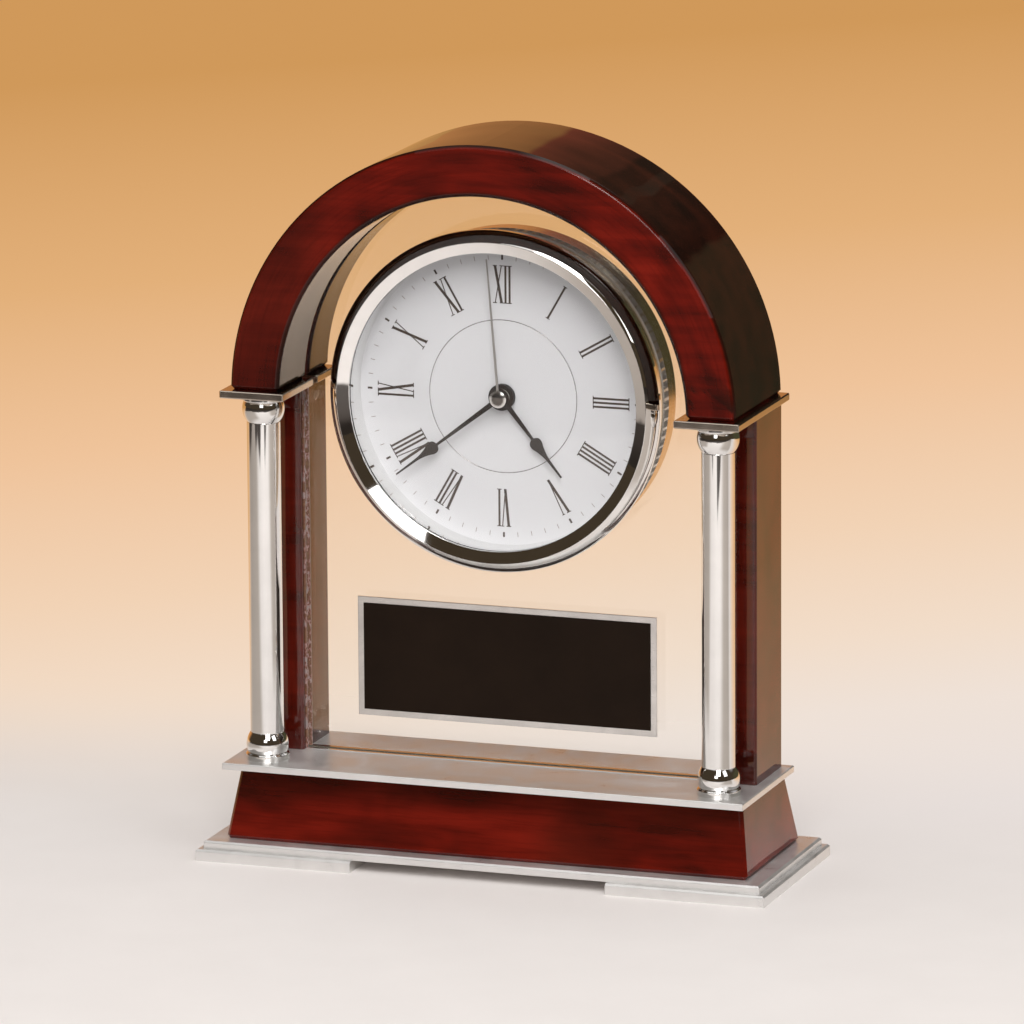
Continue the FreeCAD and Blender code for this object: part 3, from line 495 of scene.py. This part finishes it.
# Printed marks of the dial: closed flat prisms on its face, laid out in millimetres from its middle
PRINT_HEIGHT, TICK_HEIGHT = 0.025, 0.012
NUMERALS = ("XII", "I", "II", "III", "IIII", "V", "VI", "VII", "VIII", "IX", "X", "XI")
NUMERAL_FOOT, NUMERAL_TOP = 28.2, 39.7
SERIF = 0.27
MINUTES_FROM, TICK_TOP, HOUR_BAR_TOP = 41.4, 42.8, 42.9
TICK_WIDTH, HOUR_BAR_WIDTH = 0.22, 0.62

# Width of each letter, its strokes (across at the foot, across at the top, width), and its serifs
# (across, length, whether at the top)
ADVANCE = {"I": 1.28, "V": 2.75, "X": 3.25}
STROKES = {
    "I": ((0.0, 0.0, 0.64),),
    "V": ((0.15, -0.95, 0.82), (0.1, 1.05, 0.32)),
    "X": ((1.05, -1.05, 0.84), (-1.0, 1.0, 0.32)),
}
SERIFS = {
    "I": ((0.0, 1.42, True), (0.0, 1.42, False)),
    "V": ((-0.95, 1.5, True), (1.0, 0.95, True)),
    "X": ((-1.05, 1.3, True), (1.05, 1.3, True), (-1.05, 1.3, False), (1.05, 1.3, False)),
}


def prism(mesh, outline, front, back):
    faces = []
    for y in (front, back):
        faces.append([mesh.verts.new((x, y, z)) for x, z in outline])
    mesh.faces.new(faces[0])
    mesh.faces.new(faces[1][::-1])
    for i in range(len(outline)):
        j = (i + 1) % len(outline)
        mesh.faces.new((faces[0][j], faces[0][i], faces[1][i], faces[1][j]))


def linked(name, data):
    made = bpy.data.objects.new(name, data)
    bpy.context.scene.collection.objects.link(made)
    return made


def piece(name, mesh, material, body):
    bmesh.ops.recalc_face_normals(mesh, faces=mesh.faces)
    data = bpy.data.meshes.new(name)
    mesh.to_mesh(data)
    mesh.free()
    data.materials.append(material)
    made = linked(name, data)
    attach(made, body)
    return made


def on_dial(turn, across, reach):
    """A point given across and outwards from the middle, at a turn clockwise from twelve, in millimetres."""
    x = across * math.cos(turn) + reach * math.sin(turn)
    z = reach * math.cos(turn) - across * math.sin(turn)
    return x * MM, DIAL_Z + z * MM


def dial_bar(mesh, turn, low, high, foot, top, width, height=PRINT_HEIGHT):
    """A stroke from across foot at reach low to across top at reach high."""
    half = width / 2
    corners = ((foot - half, low), (foot + half, low), (top + half, high), (top - half, high))
    outline = [on_dial(turn, across, reach) for across, reach in corners]
    prism(mesh, outline, DIAL_FRONT - height * MM, DIAL_FRONT)


def numeral(mesh, turn, text):
    left = -sum(ADVANCE[letter] for letter in text) / 2
    for letter in text:
        middle = left + ADVANCE[letter] / 2
        for foot, top, width in STROKES[letter]:
            dial_bar(mesh, turn, NUMERAL_FOOT, NUMERAL_TOP, middle + foot, middle + top, width)
        for across, length, at_top in SERIFS[letter]:
            low, high = (NUMERAL_TOP - SERIF, NUMERAL_TOP) if at_top else (NUMERAL_FOOT, NUMERAL_FOOT + SERIF)
            dial_bar(mesh, turn, low, high, middle + across, middle + across, length)
        left += ADVANCE[letter]


def printed_marks():
    numerals, bars, ticks = bmesh.new(), bmesh.new(), bmesh.new()
    for hour, text in enumerate(NUMERALS):
        numeral(numerals, math.radians(hour * 30), text)
    for minute in range(60):
        turn = math.radians(minute * 6)
        if minute % 5:
            dial_bar(ticks, turn, MINUTES_FROM, TICK_TOP, 0, 0, TICK_WIDTH, TICK_HEIGHT)
        else:
            dial_bar(bars, turn, MINUTES_FROM, HOUR_BAR_TOP, 0, 0, HOUR_BAR_WIDTH)
    black = painted("dial_print", (0.036, 0.021, 0.013), 0.45, 1500.0, 0.002, specular=0.2)
    pale = painted("pale_print", (0.24, 0.21, 0.19), 0.5, 1500.0, 0.002)
    piece("dial_numerals", numerals, black, "case")
    piece("dial_hour_bars", bars, black, "case")
    piece("dial_minute_ticks", ticks, pale, "case")


def inner_ring():
    """A thin bright ring laid on the dial inside the numerals."""
    mesh = bmesh.new()
    steps, middle, half, rise = 180, 23.2, 0.13, 0.06
    profile = ((middle - half, 0), (middle - half / 2, rise), (middle + half / 2, rise), (middle + half, 0))
    rows = []
    for step in range(steps):
        turn = math.radians(step * 360 / steps)
        row = []
        for reach, lift in profile:
            x, z = on_dial(turn, 0, reach)
            row.append(mesh.verts.new((x, DIAL_FRONT - lift * MM, z)))
        rows.append(row)
    for step in range(steps):
        here, there = rows[step], rows[(step + 1) % steps]
        for i in range(len(profile)):
            j = (i + 1) % len(profile)
            mesh.faces.new((here[i], there[i], there[j], here[j]))
    metal = polished("ring_metal", (0.60, 0.58, 0.57), 0.1)
    made = piece("dial_inner_ring", mesh, metal, "case")
    for face in made.data.polygons:
        face.use_smooth = True


printed_marks()
inner_ring()

# Colours round the object. The floor behind it sweeps from pale to amber, share by share of SWEEP_LENGTH.
# Painted reflections: the floor takes the next two colours only for mirror rays, at its sides and past its
# front line
MIRRORED_SIDE_SHADE = (0.48, 0.43, 0.39)
MIRRORED_DARK = (0.06, 0.05, 0.045)
OLIVE = (0.064, 0.060, 0.031)
BLACK = (0.010, 0.008, 0.006)
FLOOR_REACH = 9.0
SWEEP_LENGTH = 2.0
SWEEP = [(0.0, (0.815, 0.745, 0.715)), (0.085, (0.86, 0.755, 0.68)), (0.15, (0.885, 0.72, 0.585)),
         (0.25, (0.885, 0.65, 0.465)), (0.40, (0.865, 0.55, 0.328)), (0.60, (0.765, 0.435, 0.195)),
         (0.90, (0.63, 0.318, 0.103))]

# Backdrop from left to right: its first colour, then where each next band begins and is full
FIRST_BAND = (0.62, 0.27, 0.09)
NEXT_BANDS = [(-0.245, -0.225, (0.40, 0.10, 0.054)), (-0.045, -0.020, BLACK),
              (0.035, 0.045, (0.100, 0.088, 0.062)), (0.075, 0.085, BLACK), (0.25, 0.27, OLIVE)]


def mirrored_dark_zones(shader, side, back):
    """Where the floor is painted dark for mirror rays only: in front, at the far left and in the near right
    corner.
    """
    front_line = shader.maths("ADD", shader.range(side, -0.46, -0.30, -0.48, -0.58, True),
                              shader.range(side, -0.14, -0.06, 0.0, -0.08, True))
    in_front = shader.fall(shader.maths("SUBTRACT", back, front_line), -0.02, 0.02)
    at_left = shader.product(shader.fall(side, -0.68, -0.62), shader.fall(back, 0.1, 0.3))
    corner = shader.product(shader.rise(side, 0.14, 0.18), shader.fall(back, -0.55, -0.51))
    return shader.larger(in_front, shader.larger(at_left, corner))


def shaded_sides(shader, side, back):
    """Painted shade that only mirrors see on the floor to the left and right of the object, from a hand's
    breadth away.
    """
    turn = shader.maths("ARCTAN2", side, shader.product(back, -1.0))
    at_left = shader.fall(turn, -0.75, -0.35)
    at_right = shader.product(shader.rise(turn, 0.60, 1.05), shader.fall(turn, 1.45, 1.60))
    distance = shader.node("VectorMath", {0: shader.place}, operation="LENGTH").outputs["Value"]
    return shader.product(shader.larger(at_left, at_right), shader.rise(distance, 0.13, 0.22))


def floor_paper():
    """Pale paper round the object, then a sweep that glows behind it. Its dark parts are painted reflections
    that show only mirrored.
    """
    shader = Shader("floor_paper", Roughness=0.6, Specular_IOR_Level=0.15)
    axes = shader.axes()
    side, back = axes["X"], axes["Y"]
    path = shader.node("LightPath").outputs
    not_through = shader.maths("SUBTRACT", 1.0, path["Is Transmission Ray"])
    mirrored = shader.product(path["Is Glossy Ray"], not_through)

    grain = shader.noise(shader.place, 30.0, 3.0)
    pale = shader.ramp(grain, [(0.3, (0.83, 0.79, 0.77)), (0.7, (0.85, 0.81, 0.79))])
    # Painted reflections: mirror rays see the floor shaded at its sides and dark in the zones past the pale
    # paper
    sheet = shader.mix(shader.product(shaded_sides(shader, side, back), mirrored), pale, MIRRORED_SIDE_SHADE)
    paper = shader.mix(shader.product(mirrored_dark_zones(shader, side, back), mirrored), sheet, MIRRORED_DARK)
    shader.give(Base_Color=paper, Normal=shader.bump(grain, 0.05 * MM))

    slanted = shader.maths("SUBTRACT", back, shader.product(side, 0.9))
    # Painted reflections: for mirror rays only, the sweep is shifted nearer and turns olive beside the object
    ahead = shader.maths("ADD", shader.range(side, -0.25, 0.10, 0.15, 0.55, True), back)
    along = shader.maths("ADD", slanted, shader.product(ahead, mirrored))
    sweep = shader.ramp(shader.range(along, 0.0, SWEEP_LENGTH, 0.0, 1.0), SWEEP)
    beside = shader.product(shader.rise(side, 0.10, 0.20), shader.rise(back, 0.65, 0.74))
    sweep = shader.mix(shader.product(beside, mirrored), sweep, OLIVE)
    glow = shader.node("Emission", {"Color": sweep, "Strength": 1.0}).outputs[0]
    bent = shader.larger(path["Is Glossy Ray"], path["Is Transmission Ray"])
    seen = shader.larger(path["Is Camera Ray"], bent)
    shader.blend_in(shader.product(shader.rise(back, -0.03, 0.18), seen), glow)
    return shader.material


def floor():
    mesh = bmesh.new()
    corners = ((-1, -1), (1, -1), (1, 1), (-1, 1))
    mesh.faces.new([mesh.verts.new((x * FLOOR_REACH, y * FLOOR_REACH, 0.0)) for x, y in corners])
    data = bpy.data.meshes.new("floor")
    mesh.to_mesh(data)
    mesh.free()
    data.materials.append(floor_paper())
    made = linked("floor", data)


def world():
    """Even light for matt surfaces, and a warm backdrop in a dim room for what mirrors."""
    made = bpy.data.worlds.new("studio")
    bpy.context.scene.world = made
    made.use_nodes = True
    studio = Nodes(made.node_tree, "Generated")
    direction = studio.axes()
    backdrop = FIRST_BAND
    for begins, full, colour in NEXT_BANDS:
        backdrop = studio.mix(studio.rise(direction["X"], begins, full), backdrop, colour)
    behind = studio.rise(direction["Y"], 0.05, 0.55)
    low = studio.fall(direction["Z"], 0.24, 0.42)
    high = studio.rise(direction["Z"], 0.40, 0.65)
    room = studio.mix(studio.product(behind, high), (0.052, 0.038, 0.024), (0.50, 0.49, 0.50))
    around = studio.mix(studio.product(behind, low), room, backdrop)
    path = studio.node("LightPath").outputs
    mirrored = studio.mix(path["Is Glossy Ray"], (0.86, 0.79, 0.74), around)
    lit = studio.mix(path["Is Diffuse Ray"], mirrored, (0.38, 0.365, 0.35))
    background = made.node_tree.nodes["Background"]
    studio.connect(background.inputs["Color"], lit)
    studio.connect(background.inputs["Strength"], 1.0)


LAMPS_AIM = Vector((0, 0, 0.11))


def lamp(name, direction, distance, width, height, light, colour=(1.0, 1.0, 1.0)):
    """A soft box that gives a matt surface facing it the named share of full light."""
    data = bpy.data.lights.new(name, "AREA")
    data.shape = "RECTANGLE"
    data.size, data.size_y = width, height
    data.energy = light * (math.pi * distance) ** 2
    data.color = colour
    made = linked(name, data)
    towards = Vector(direction).normalized()
    made.location = LAMPS_AIM + towards * distance
    made.rotation_mode = "QUATERNION"
    made.rotation_quaternion = towards.to_track_quat("Z", "Y")


# The camera's turn round the object, height and roll in degrees, its distance and what it looks at
AZIMUTH, ELEVATION, ROLL = 19.435, 12.561, -0.367
CAMERA_DISTANCE = 2.7672
CAMERA_AIM = Vector((0.48, 0.0, 106.91)) * MM


def camera():
    data = bpy.data.cameras.new("camera")
    data.sensor_width = 36.0
    data.lens = 325.18
    data.clip_start, data.clip_end = 0.05, 60.0
    made = linked("camera", data)
    azimuth, elevation, roll = math.radians(AZIMUTH), math.radians(ELEVATION), math.radians(ROLL)
    back = Vector((math.sin(azimuth) * math.cos(elevation), -math.cos(azimuth) * math.cos(elevation),
                   math.sin(elevation)))
    right = Vector((math.cos(azimuth), math.sin(azimuth), 0.0))
    up = back.cross(right)
    turned_right = right * math.cos(roll) + up * math.sin(roll)
    turned_up = up * math.cos(roll) - right * math.sin(roll)
    facing = Matrix((turned_right, turned_up, back)).transposed().to_4x4()
    made.matrix_world = Matrix.Translation(CAMERA_AIM + back * CAMERA_DISTANCE) @ facing
    bpy.context.scene.camera = made


floor()
world()
lamp("key", (0.34, -1.00, 1.00), 1.7, 0.6, 1.1, 0.62, (1.0, 0.985, 0.97))
lamp("side", (1.0, -0.55, 0.75), 1.9, 0.6, 0.9, 0.10)
lamp("low", (0.09, -0.90, 0.31), 1.7, 0.5, 0.4, 0.05)
lamp("overhead", (-0.1, -0.1, 1.0), 1.6, 1.3, 1.3, 0.20)
camera()
bpy.context.scene.view_settings.view_transform = "Standard"
